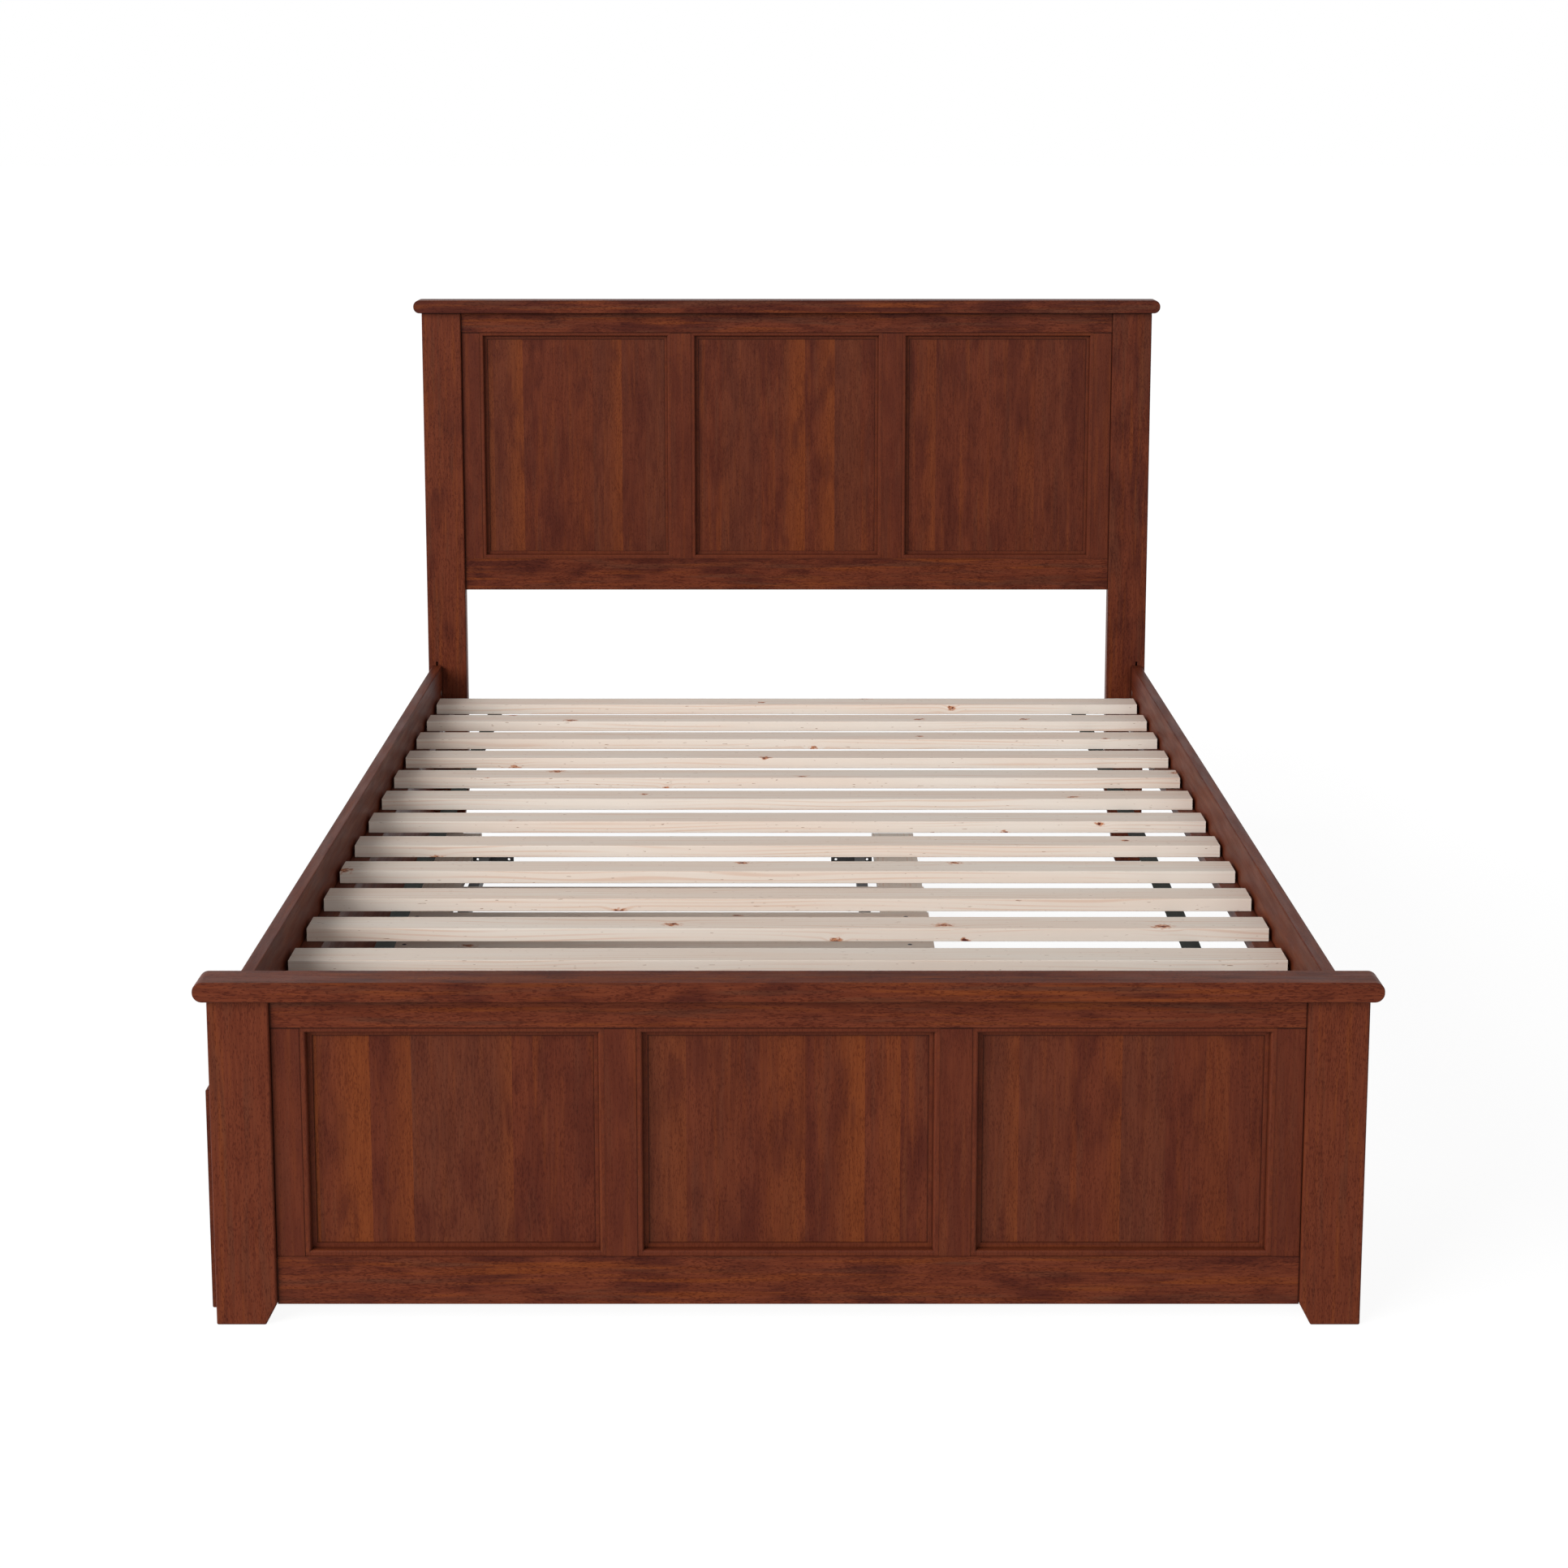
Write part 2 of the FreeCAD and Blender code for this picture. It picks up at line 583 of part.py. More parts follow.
SCREW_ROWS = (f"{TRUNDLE_FACE} + trundle_front_board_width / 2",
              f"{TRUNDLE_REAR} - trundle_rear_board_width / 2")
trundle_slats = []
slat_middles = []
for number in range(int(value("trundle_slat_count"))):
    middle = f"(({number} - (trundle_slat_count - 1) / 2) * {TRUNDLE_SLAT_PITCH})"
    slat_left = f"({TRUNDLE_FACE} + trundle_slat_end_gap)"
    slat = board(f"trundle_slat_{number + 1:02d}",
                 ("trundle_depth - trundle_slat_end_gap", "trundle_slat_width", "trundle_slat_thickness"),
                 (slat_left, f"{middle} - trundle_slat_width / 2", "trundle_board_top"),
                 X_AXIS, "trundle_board_edge_radius")
    for across in SCREW_ROWS:
        drilled = rod(slat, "Subtractive", "screw_shank_radius + screw_clearance", "trundle_slat_thickness",
                      (f"{across} - {slat_left}", "trundle_slat_width / 2", "0"), Z_AXIS)
    rims = [name for name in edges_at(drilled.Shape, z=value("trundle_slat_thickness"))
            if drilled.Shape.getElement(name).Curve.TypeId == "Part::GeomCircle"]
    sunk = slat.newObject("PartDesign::Chamfer", "Countersinks")
    sunk.Base = (drilled, rims)
    bind(sunk, "Size", "screw_head_radius - screw_shank_radius")
    doc.recompute()
    slat_middles.append(middle)
    trundle_slats.append(slat)
group("trundle_slats", trundle_slats)

# A countersunk screw, turned to a point, with a cross recess in its head
head_radius = value("screw_head_radius")
shank_radius = value("screw_shank_radius")
head_top = -value("screw_head_sink")
screw_end = head_top - value("screw_length")
corners = [(0, head_top), (head_radius, head_top), (shank_radius, head_top - head_radius + shank_radius),
           (shank_radius, screw_end + value("screw_point")), (0, screw_end), (0, head_top)]
section = Part.Face(Part.makePolygon([FreeCAD.Vector(across, 0, up) for across, up in corners]))
screw = section.revolve(FreeCAD.Vector(), Z_AXIS, 360)
recess = (value("screw_recess_length"), value("screw_recess_width"))
for length, width in (recess, recess[::-1]):
    corner = FreeCAD.Vector(-length / 2, -width / 2, head_top - value("screw_recess_depth"))
    screw = screw.cut(Part.makeBox(length, width, value("screw_recess_depth"), corner))
screws = doc.addObject("Part::Feature", "trundle_slat_screws")
screws.Label = "trundle_slat_screws"
deck_top = value("trundle_board_top + trundle_slat_thickness")
screw_places = [FreeCAD.Vector(value(across), value(middle), deck_top)
                for across in SCREW_ROWS for middle in slat_middles]
screws.Shape = Part.makeCompound([screw.translated(spot) for spot in screw_places])
nodes.append(screws)

# Bearers under the boards' ends, with the tubes' flanges screwed to their inner faces
bearers = []
for end, start in (("foot", f"-{BEARER_OFFSET} - bearer_thickness"), ("head", BEARER_OFFSET)):
    bearers.append(board(f"bearer_{end}", ("trundle_depth", "bearer_thickness", "bearer_height"),
                         (TRUNDLE_FACE, start, f"{BOARD_BOTTOM} - bearer_height"),
                         X_AXIS, "trundle_board_edge_radius"))
group("trundle_bearers", bearers)

tubes = []
for side, flange_left, tube_left in (
        ("front", f"{FRONT_BOARD_EDGE} + tube_front_gap", "flange_tube_offset"),
        ("rear", f"{REAR_BOARD_EDGE} - tube_rear_gap - flange_width",
         "flange_width - flange_tube_offset - tube_width")):
    tube = new_body(f"tube_{side}", (flange_left, f"-{BEARER_OFFSET}", "trundle_board_top - tube_height"))
    walls = [rectangle(tube_left, "0", f"{tube_left} + tube_width", "tube_height"),
             rectangle(f"{tube_left} + tube_wall", "tube_wall",
                       f"{tube_left} + tube_width - tube_wall", "tube_height - tube_wall")]
    pad(tube, "XZ_Plane", walls, f"2 * {BEARER_OFFSET}")
    for flange_start in ("0", f"2 * {BEARER_OFFSET} - flange_thickness"):
        block(tube, "Additive", ("flange_width", "flange_thickness", "flange_height"),
              ("0", flange_start, "tube_height - flange_height"))
        for hole_side in ("-", "+"):
            for hole_drop in ("flange_hole_inset", "(flange_height - flange_hole_inset)"):
                rod(tube, "Subtractive", "flange_hole_radius", "flange_thickness",
                    (f"flange_width / 2 {hole_side} flange_hole_spacing / 2", flange_start,
                     f"tube_height - {hole_drop}"), Y_AXIS)
    tubes.append(tube)
group("trundle_tubes", tubes)

angles = []
for number in range(int(value("angle_count"))):
    middle = f"({number} - (angle_count - 1) / 2) * {ANGLE_PITCH}"
    angle = new_body(f"angle_{number + 1}", (TRUNDLE_FACE, f"{middle} - angle_width / 2",
                                             f"{BOARD_BOTTOM} - angle_leg"))
    corners = [("0", "0"), ("angle_thickness", "0"), ("angle_thickness", "angle_leg - angle_thickness"),
               ("angle_leg", "angle_leg - angle_thickness"), ("angle_leg", "angle_leg"),
               ("0", "angle_leg")]
    pad(angle, "XZ_Plane", [corners], "angle_width")
    angles.append(angle)
group("trundle_angles", angles)


# Casters: a bent steel fork with a riveted axle under each board's ends, and a
# plastic wheel with a recessed web that turns on the axle.

forks = []
for row_name, across in (("front", f"({TRUNDLE_FACE} + trundle_front_board_width / 2)"),
                         ("rear", f"({TRUNDLE_REAR} - trundle_rear_board_width / 2)")):
    for end, middle in (("foot", f"(-{CASTER_OFFSET})"), ("head", CASTER_OFFSET)):
        fork_low = "(wheel_radius - fork_below_axle)"
        fork_height = f"({BOARD_BOTTOM} - {fork_low})"
        fork = new_body(f"fork_{row_name}_{end}", (f"{across} - fork_length / 2",
                                                   f"{middle} - {FORK_WIDTH} / 2", fork_low))
        inner_right = f"{FORK_WIDTH} - fork_thickness"
        inner_top = f"{fork_height} - fork_thickness"
        corners = [("0", "0"), ("fork_thickness", "0"), ("fork_thickness", inner_top),
                   (inner_right, inner_top), (inner_right, "0"), (FORK_WIDTH, "0"),
                   (FORK_WIDTH, fork_height), ("0", fork_height)]
        bent = pad(fork, "YZ_Plane", [corners], "fork_length")
        low_edges = [name for name in edges_at(bent.Shape, z=0) if name in edges_along(bent.Shape, Y_AXIS)]
        ease(fork, bent, low_edges, "fork_corner_radius")
        rod(fork, "Additive", "axle_radius", f"{FORK_WIDTH} + 2 * axle_end",
            ("fork_length / 2", "-axle_end", "fork_below_axle"), Y_AXIS)
        forks.append(fork)

        wheel = new_body(f"caster_wheel_{row_name}_{end}", (across, f"{middle} - wheel_width / 2",
                                                            "wheel_radius"))
        bore = "axle_radius + axle_clearance"
        rim = "wheel_radius - wheel_rim_width"
        far_web = "wheel_width - wheel_web_recess"
        section = [("0", bore), ("wheel_width", bore), ("wheel_width", "wheel_hub_radius"),
                   (far_web, "wheel_hub_radius"), (far_web, rim), ("wheel_width", rim),
                   ("wheel_width", "wheel_radius"), ("0", "wheel_radius"), ("0", rim),
                   ("wheel_web_recess", rim), ("wheel_web_recess", "wheel_hub_radius"),
                   ("0", "wheel_hub_radius")]
        turned = wheel.newObject("PartDesign::Revolution", "Turned")
        turned.Profile = outline(wheel, "YZ_Plane", [section])
        turned.ReferenceAxis = (origin_item(wheel, "Y_Axis"), [""])
        turned.Angle = 360
        wheel.Tip = turned
        doc.recompute()
        tread = [name for level in (0, value("wheel_width"))
                 for name in edges_at(turned.Shape, y=level)
                 if turned.Shape.getElement(name).Curve.Radius > value(rim) + 1e-4]
        ease(wheel, turned, tread, "wheel_edge_radius")
        nodes.append(wheel)
group("caster_forks", forks)


# Each piece is checked, and then written under its own name.

doc.recompute()
failed = [item.Label for item in doc.Objects if "Invalid" in item.State or "Error" in item.State]
failed += [node.Label for node in nodes if node.Shape.isNull() or not node.Shape.isValid()]
if failed:
    raise RuntimeError("not built: " + ", ".join(failed))
os.makedirs("parts", exist_ok=True)
for node in nodes:
    node.Shape.exportStep(f"parts/{node.Label}.step")
print(len(nodes), "nodes written")
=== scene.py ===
import math

import bpy
import numpy as np
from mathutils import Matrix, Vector


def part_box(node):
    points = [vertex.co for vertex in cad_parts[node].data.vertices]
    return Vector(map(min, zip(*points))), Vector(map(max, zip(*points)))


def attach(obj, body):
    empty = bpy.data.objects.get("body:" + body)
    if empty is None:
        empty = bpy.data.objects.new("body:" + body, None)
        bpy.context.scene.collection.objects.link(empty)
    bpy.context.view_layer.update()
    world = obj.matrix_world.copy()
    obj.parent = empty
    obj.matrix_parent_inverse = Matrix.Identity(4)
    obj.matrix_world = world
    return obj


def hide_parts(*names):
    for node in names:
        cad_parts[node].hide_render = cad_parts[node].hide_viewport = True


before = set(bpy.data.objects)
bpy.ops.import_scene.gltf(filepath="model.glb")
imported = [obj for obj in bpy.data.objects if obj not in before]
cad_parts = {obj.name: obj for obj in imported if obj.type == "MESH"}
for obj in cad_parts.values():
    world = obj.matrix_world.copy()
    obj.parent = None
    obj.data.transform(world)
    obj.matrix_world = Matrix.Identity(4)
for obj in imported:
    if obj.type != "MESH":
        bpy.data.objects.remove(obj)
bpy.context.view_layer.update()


# Posts: four flat hardwood posts that stand on the floor, with eased edges and feet
# that narrow on the inner side. They are stained red-brown under a satin lacquer,
# with the grain upright, and slotted for the side rails' hooks.

STAIN_DEEP = (0.074, 0.0154, 0.0082, 1.0)
STAIN_CLEAR = (0.132, 0.0302, 0.0128, 1.0)
STAIN_WARM = (0.172, 0.0410, 0.0108, 1.0)
STAIN_DULL = (0.102, 0.0300, 0.0150, 1.0)
# Painted seam shade: a dark colour mixed into seams, recesses and under edges, where shade falls
PAINTED_SEAM_SHADE = (0.022, 0.0045, 0.0020, 1.0)
PORE_SHADE = (0.62, 0.53, 0.53, 1.0)
STREAK_SHADE = (0.80, 0.74, 0.74, 1.0)
STAIN_GLOSS = 0.08
# Reach of the occlusion test for the painted seam shade, and the upward lean of its hemisphere, which makes
# the painted shade darkest under an edge
SEAM_REACH = 0.0025
SEAM_LEAN = (0.0, 0.0, 0.7)
PORE_DEPTH = 0.0002
# Spots of the wood's figure, as lengths across the grain and along it
CLOUD_SPOT = (0.030, 0.095)
WARM_SPOT = (0.009, 0.24)
DULL_SPOT = (0.012, 0.20)
STREAK_SPOT = (0.0034, 0.048)
CROWD_SPOT = (0.026, 0.050)
PORE_SPOT = (0.0013, 0.0060)
SHEEN_SPOT = (0.012, 0.11)
AXES = "XYZ"
BOARD_SHIFT = (1.37, 2.11, 3.73)


def fill(tree, node, inputs):
    """Gives a node's inputs their values, or links them to other nodes' outputs."""
    for socket, value in inputs.items():
        if isinstance(value, bpy.types.NodeSocket):
            tree.links.new(value, node.inputs[socket])
        else:
            node.inputs[socket].default_value = value


def add(tree, kind, inputs, **settings):
    """Adds a shader node with its settings and inputs."""
    node = tree.nodes.new("ShaderNode" + kind)
    for setting, value in settings.items():
        setattr(node, setting, value)
    fill(tree, node, inputs)
    return node


def new_finish(name, **sockets):
    """A new material with its tree and shader, whose even values sit on the shader's own sockets."""
    finish = bpy.data.materials.new(name)
    finish.use_nodes = True
    shader = finish.node_tree.nodes["Principled BSDF"]
    fill(finish.node_tree, shader, {socket.replace("_", " "): value for socket, value in sockets.items()})
    return finish, finish.node_tree, shader


def mix(tree, share, first, second, kind="MIX"):
    """Goes from a first colour to a second as the share goes from 0 to 1."""
    node = add(tree, "Mix", {}, data_type="RGBA", blend_type=kind)
    fill(tree, node, {0: share, 6: first, 7: second})
    return node.outputs[2]


def between(tree, value, low, high, start=0.0, end=1.0):
    """Eases from start to end as a value goes from low to high."""
    inputs = {"Value": value, "From Min": low, "From Max": high, "To Min": start, "To Max": end}
    return add(tree, "MapRange", inputs, interpolation_type="SMOOTHSTEP").outputs["Result"]


def work(tree, operation, *values):
    """One step of arithmetic on values."""
    return add(tree, "Math", dict(enumerate(values)), operation=operation).outputs["Value"]


def own_place(tree, seed):
    """Object coordinates moved by the seed, so that no two boards show the same figure."""
    place = add(tree, "TexCoord", {}).outputs["Object"]
    shift = [step * seed for step in BOARD_SHIFT]
    return add(tree, "VectorMath", {0: place, 1: shift}, operation="ADD").outputs["Vector"]


def grained(tree, place, grain, spot, detail=2.0, wander=0.0):
    """Noise whose spots have one length across the grain and another along it, and may wander from it."""
    across, along = spot
    scale = [1 / across] * 3
    scale[AXES.index(grain)] = 1 / along
    stretched = add(tree, "VectorMath", {0: place, 1: scale}, operation="MULTIPLY").outputs["Vector"]
    inputs = {"Vector": stretched, "Scale": 1.0, "Detail": detail, "Distortion": wander}
    return add(tree, "TexNoise", inputs).outputs["Fac"]


def stain(tree, place, grain, depth, figure):
    """Stain tones along the grain: soft clouds of deep and clear stain, warm and dull streaks between them.
    The depth moves the clouds' balance, and is 0 for even shares. The figure is how much the tones differ."""
    clouds = between(tree, grained(tree, place, grain, CLOUD_SPOT, 3.0), 0.32 + depth, 0.62 + depth,
                     0.5 - 0.5 * figure, 0.5 + 0.5 * figure)
    colour = mix(tree, clouds, STAIN_DEEP, STAIN_CLEAR)
    warmth = between(tree, grained(tree, place, grain, WARM_SPOT), 0.50, 0.72, 0.0, 0.70 * figure)
    colour = mix(tree, warmth, colour, STAIN_WARM)
    dullness = between(tree, grained(tree, place, grain, DULL_SPOT), 0.48, 0.30, 0.0, 0.70 * figure)
    return mix(tree, dullness, colour, STAIN_DULL)


def lacquer(tree, shader, place, grain, colour, figure, seam_shade=1.0):
    """Draws wavy streaks and short pores into a stained colour, and dents the lacquer along them.
    Painted shade darkens seams, recesses and the undersides of edges, by the share given last."""
    streaks = between(tree, grained(tree, place, grain, STREAK_SPOT, 3.0, 0.4), 0.60, 0.38,
                      0.0, 0.3 + 0.7 * figure)
    colour = mix(tree, streaks, colour, STREAK_SHADE, "MULTIPLY")
    crowding = between(tree, grained(tree, place, grain, CROWD_SPOT), 0.36, 0.62, 0.08, 0.0)
    fine = work(tree, "SUBTRACT", grained(tree, place, grain, PORE_SPOT, 1.0), crowding)
    pores = between(tree, fine, 0.50, 0.62)
    shown = work(tree, "MULTIPLY", pores, 0.2 + 0.8 * figure)
    colour = mix(tree, shown, colour, PORE_SHADE, "MULTIPLY")
    # Painted shade: an occlusion test whose hemisphere leans upward darkens seams, recesses and the
    # undersides of edges
    facing = add(tree, "NewGeometry", {}).outputs["Normal"]
    raised = add(tree, "VectorMath", {0: facing, 1: SEAM_LEAN}, operation="ADD").outputs["Vector"]
    opening = add(tree, "AmbientOcclusion", {"Distance": SEAM_REACH, "Normal": raised}, samples=6)
    painted_shade = between(tree, opening.outputs["AO"], 0.97, 0.68, 0.0, seam_shade)
    colour = mix(tree, painted_shade, colour, PAINTED_SEAM_SHADE)
    sheen = between(tree, grained(tree, place, grain, SHEEN_SPOT), 0.3, 0.7, 0.40, 0.50)
    dents = add(tree, "Bump", {"Height": pores, "Strength": 0.35, "Distance": PORE_DEPTH}, invert=True)
    fill(tree, shader, {"Base Color": colour, "Roughness": sheen, "Normal": dents.outputs["Normal"]})


def stained_wood(name, grain, seed, depth, figure):
    """A board of stained hardwood, with its grain along one axis."""
    finish, tree, shader = new_finish(name, Specular_IOR_Level=STAIN_GLOSS)
    place = own_place(tree, seed)
    lacquer(tree, shader, place, grain, stain(tree, place, grain, depth, figure), figure)
    return finish


def dress(node, finish):
    """Puts a finish on a piece of the frame."""
    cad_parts[node].material_slots[0].material = finish


POST_DEPTHS = {"headboard_post_left": -0.11, "headboard_post_right": 0.02,
               "footboard_post_left": -0.19, "footboard_post_right": -0.21}
POST_FIGURE = 0.85

seed = 0
for post, depth in POST_DEPTHS.items():
    seed += 1
    dress(post, stained_wood(f"stained_{post}", "Z", seed, depth, POST_FIGURE))


# Rails of the end frames: a top and a bottom board between each pair of posts, tenoned
# into them and grooved for the panels. They have the posts' stain, with the grain level.

CROSS_RAIL_DEPTHS = {"headboard_top_rail": 0.0, "headboard_bottom_rail": -0.02,
                     "footboard_top_rail": -0.14, "footboard_bottom_rail": -0.02}
LEVEL_FIGURE = 1.3

for rail, depth in CROSS_RAIL_DEPTHS.items():
    seed += 1
    dress(rail, stained_wood(f"stained_{rail}", "X", seed, depth, LEVEL_FIGURE))


# Stiles and mullions: short upright boards between the rails, tongued into the rails'
# grooves and a little behind their face. Their stain is deeper, with the grain upright.

UPRIGHT_DEPTH = 0.06
UPRIGHT_FIGURE = 0.42
END_FRAMES = ("headboard", "footboard")

for end in END_FRAMES:
    for upright in ("stile_left", "mullion_left", "mullion_right", "stile_right"):
        seed += 1
        finish = stained_wood(f"stained_{end}_{upright}", "Z", seed, UPRIGHT_DEPTH, UPRIGHT_FIGURE)
        dress(f"{end}_{upright}", finish)


# Panels: thin boards in the frames' grooves, glued up edge to edge from narrow upright
# staves. The staves take the stain differently, so that they show as bands.

STAVE_WIDTH = 0.066
PANEL_DEPTHS = {"left": 0.0, "center": 0.015, "right": -0.04}
PANEL_FIGURE = 0.65
# Share of painted seam shade along the panels' edges
PANEL_SEAM_SHADE = 0.75
PATCH_SPOT = (0.030, 0.110)


def stave_panel(name, seed, depth):
    """Stained wood whose tone steps from stave to stave, by random values for each stave's cell.
    A warm stave grows warmer across its width, up to its glued edge. Dark patches lie over the staves."""
    finish, tree, shader = new_finish(name, Specular_IOR_Level=STAIN_GLOSS)
    place = own_place(tree, seed)
    colour = stain(tree, place, "Z", depth, PANEL_FIGURE)
    across = add(tree, "SeparateXYZ", {"Vector": place}).outputs["X"]
    staves = add(tree, "TexVoronoi", {"W": across, "Scale": 1 / STAVE_WIDTH, "Randomness": 0.9},
                 voronoi_dimensions="1D").outputs
    tone = add(tree, "SeparateColor", {"Color": staves["Color"]}).outputs
    beside = work(tree, "DIVIDE", work(tree, "SUBTRACT", across, staves["W"]), STAVE_WIDTH)
    ramp = between(tree, beside, -0.4, 0.4)
    warm = work(tree, "MULTIPLY", between(tree, tone["Red"], 0.40, 0.80, 0.0, 0.85), ramp)
    deep = between(tree, tone["Green"], 0.50, 0.95, 0.0, 0.30)
    dull = between(tree, tone["Blue"], 0.55, 0.90, 0.0, 0.45)
    patches = between(tree, grained(tree, place, "Z", PATCH_SPOT, 3.0), 0.50, 0.68, 0.0, 0.65)
    colour = mix(tree, deep, colour, STAIN_DEEP)
    colour = mix(tree, dull, colour, STAIN_DULL)
    colour = mix(tree, warm, colour, STAIN_WARM)
    colour = mix(tree, patches, colour, STAIN_DEEP)
    lacquer(tree, shader, place, "Z", colour, PANEL_FIGURE, PANEL_SEAM_SHADE)
    return finish


for end in END_FRAMES:
    for spot, depth in PANEL_DEPTHS.items():
        seed += 1
        dress(f"{end}_panel_{spot}", stave_panel(f"stained_{end}_panel_{spot}", seed, depth))


# Beads: mitred strips with a rounded edge and a low step, pinned around each panel. Their
# stain is rubbed clear on the face, and their grain follows each strip.

BEAD_DEPTH = -0.10
# Share of painted seam shade in the beads' quirks and steps
BEAD_SEAM_SHADE = 0.5


def bead_stain(name, seed):
    """Stain whose figure runs upright on faces that look sideways, and level on the others."""
    finish, tree, shader = new_finish(name, Specular_IOR_Level=STAIN_GLOSS)
    place = own_place(tree, seed)
    facing = add(tree, "SeparateXYZ", {"Vector": add(tree, "NewGeometry", {}).outputs["Normal"]})
    sideways = work(tree, "GREATER_THAN", work(tree, "ABSOLUTE", facing.outputs["X"]), 0.02)
    level, upright = (stain(tree, place, grain, BEAD_DEPTH, UPRIGHT_FIGURE) for grain in "XZ")
    colour = mix(tree, sideways, level, upright)
    lacquer(tree, shader, place, "Z", colour, UPRIGHT_FIGURE, BEAD_SEAM_SHADE)
    return finish


for end in END_FRAMES:
    seed += 1
    dress(f"{end}_beads", bead_stain(f"stained_{end}_beads", seed))


# Caps: one board with rounded ends along the top of each end frame, glued down on the
# posts and the top rail. They have the same stain, with the grain along their length.

CAP_DEPTHS = {"headboard": 0.09, "footboard": -0.04}

for end, depth in CAP_DEPTHS.items():
    seed += 1
    dress(f"{end}_cap", stained_wood(f"stained_{end}_cap", "X", seed, depth, LEVEL_FIGURE))


# Side rails and cleats: long stained boards that hook onto the posts, each with a
# ledge for the slats screwed to its inner face.

SIDE_RAIL_DEPTH = 0.02
SIDE_RAIL_FIGURE = 0.6

for board in ("side_rail_left", "side_rail_right", "slat_cleat_left", "slat_cleat_right"):
    seed += 1
    dress(board, stained_wood(f"stained_{board}", "Y", seed, SIDE_RAIL_DEPTH, SIDE_RAIL_FIGURE))


# Hook plates and barrels: stamped zinc-plated steel in the rails' ends, and the turned
# barrels that pin them, whose ends show as bright discs in the rails' inner faces.

ZINC_BRIGHT = (0.66, 0.66, 0.64, 1.0)
ZINC_DULL = (0.46, 0.46, 0.45, 1.0)
SPANGLE_SPOT = (0.004, 0.004)
SCRATCH_SPOT = (0.0004, 0.006)
SCRATCH_DEPTH = 0.00005


def plated_steel(name):
    """Zinc plate: bright and dull spangles, with fine scratches in the gloss."""
    finish, tree, shader = new_finish(name, Metallic=1.0)
    place = own_place(tree, 0)
    spangle = between(tree, grained(tree, place, "Z", SPANGLE_SPOT, 3.0), 0.35, 0.65)
    scratches = grained(tree, place, "Y", SCRATCH_SPOT)
    gloss = between(tree, scratches, 0.3, 0.7, 0.26, 0.44)
    dents = add(tree, "Bump", {"Height": scratches, "Strength": 0.2, "Distance": SCRATCH_DEPTH})
    fill(tree, shader, {"Base Color": mix(tree, spangle, ZINC_DULL, ZINC_BRIGHT),
                        "Roughness": gloss, "Normal": dents.outputs["Normal"]})
    return finish


zinc = plated_steel("zinc_plate")
dress("rail_hook_plates", zinc)
dress("rail_barrels", zinc)


# Cleat screws: zinc-plated pan heads along the cleats' inner faces, every 300 mm,
# each with a cross-shaped driver's mark simplified to a round socket.

SCREW_HEAD_RADIUS = 0.0042
SCREW_HEAD_HEIGHT = 0.0022
SCREW_SOCKET_RADIUS = 0.0016
SCREW_SOCKET_DEPTH = 0.0012
SCREW_SIDES = 20
SCREW_DOME_RINGS = 7
SHARP_ANGLE = 35
CLEAT_SCREW_PITCH = 0.300


def skin(count, size):
    """Corner numbers of a closed skin over a count of rings, each with the same size in points.
    A quad joins neighbours on each two rings, and a cap closes each end ring."""
    ring, spot = np.meshgrid(np.arange(count - 1), np.arange(size), indexing="ij")
    following = (spot + 1) % size
    quads = np.stack([ring * size + spot, ring * size + following,
                      (ring + 1) * size + following, (ring + 1) * size + spot], axis=-1)
    caps = [np.arange(size)[::-1], np.arange(size) + (count - 1) * size]
    return quads.reshape(-1, 4), caps


def ringed_piece(name, rings, finish, body):
    """Makes one piece from copies of a form, given as copies of rings of points."""
    copies, count, size, _ = rings.shape
    quads, caps = skin(count, size)
    starts = (np.arange(copies) * count * size)[:, None, None]
    faces = (quads + starts).reshape(-1, 4).tolist()
    faces += (np.array(caps) + starts).reshape(-1, size).tolist()
    mesh = bpy.data.meshes.new(name)
    mesh.from_pydata(rings.reshape(-1, 3).tolist(), [], faces)
    mesh.shade_smooth()
    mesh.set_sharp_from_angle(angle=math.radians(SHARP_ANGLE))
    mesh.materials.append(finish)
    piece = bpy.data.objects.new(name, mesh)
    bpy.context.scene.collection.objects.link(piece)
    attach(piece, body)
    return piece


def circle(steps):
    """Cosines and sines of evenly spaced turns."""
    turn = np.arange(steps) * 2 * np.pi / steps
    return np.cos(turn), np.sin(turn)


def screw_heads(places, axis):
    """Rings of domed heads that stand out along an axis.
    From the foot, the radius shrinks as the cosine of a quarter turn while the height grows as its sine.
    A socket then goes straight down from the dome."""
    dome = np.linspace(0.0, np.pi / 2, SCREW_DOME_RINGS)
    crown = SCREW_HEAD_RADIUS - SCREW_SOCKET_RADIUS
    radius = np.append(SCREW_SOCKET_RADIUS + crown * np.cos(dome), SCREW_SOCKET_RADIUS)
    height = np.append(SCREW_HEAD_HEIGHT * np.sin(dome), SCREW_HEAD_HEIGHT - SCREW_SOCKET_DEPTH)
    across, up = circle(SCREW_SIDES)
    out = np.array(axis, float)
    first = np.roll(out, 1)
    second = np.cross(out, first)
    ring = across[:, None] * first + up[:, None] * second
    head = radius[:, None, None] * ring[None] + height[:, None, None] * out
    return np.array(places)[:, None, None, :] + head[None]


cleat_heads = []
for side, sign in (("left", 1), ("right", -1)):
    low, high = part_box(f"slat_cleat_{side}")
    inner = high.x if sign > 0 else low.x
    count = int((high.y - low.y) / CLEAT_SCREW_PITCH)
    along = (low.y + high.y) / 2 + (np.arange(count) - (count - 1) / 2) * CLEAT_SCREW_PITCH
    spots = np.column_stack([np.full(count, inner), along, np.full(count, (low.z + high.z) / 2)])
    cleat_heads.append(screw_heads(spots, (sign, 0, 0)))
ringed_piece("cleat_screws", np.concatenate(cleat_heads), zinc, "bed_frame")


# Slats: fourteen planed pale softwood boards, loose on the cleats. They are bare, with
# pinkish growth lines along their length, a few small knots and short dark flecks.

